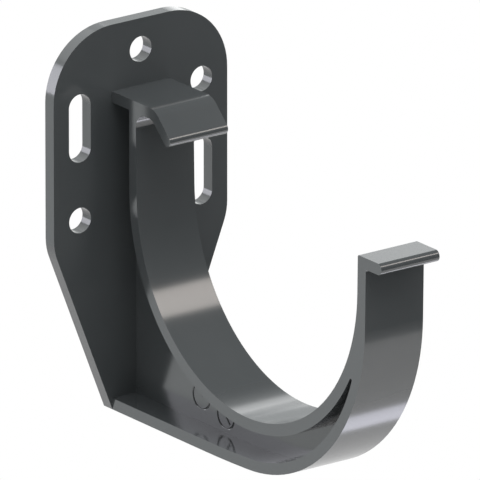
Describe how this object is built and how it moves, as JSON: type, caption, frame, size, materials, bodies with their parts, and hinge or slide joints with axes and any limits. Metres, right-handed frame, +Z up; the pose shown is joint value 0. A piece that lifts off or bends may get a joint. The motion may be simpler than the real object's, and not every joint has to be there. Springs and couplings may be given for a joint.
{
  "type": "gutter bracket",
  "caption": "Bracket for a half-round gutter: a drilled and slotted wall plate carries a curved seat on a thin web, with a front lip and a rear hook over the gutter's bead.",
  "frame": {"origin": "on the plate's back face, at the centre of the screw pattern", "axes": "+Y into the wall, so the arm reaches out along -Y; +Z up; +X along the wall, to the right for someone who faces it"},
  "size_m": [0.045, 0.097, 0.0851],
  "materials": {
    "plastic": "smooth semi-gloss anthracite grey, as moulded"
  },
  "bodies": {
    "root": {"bracket": "plastic"}
  },
  "joints": []
}
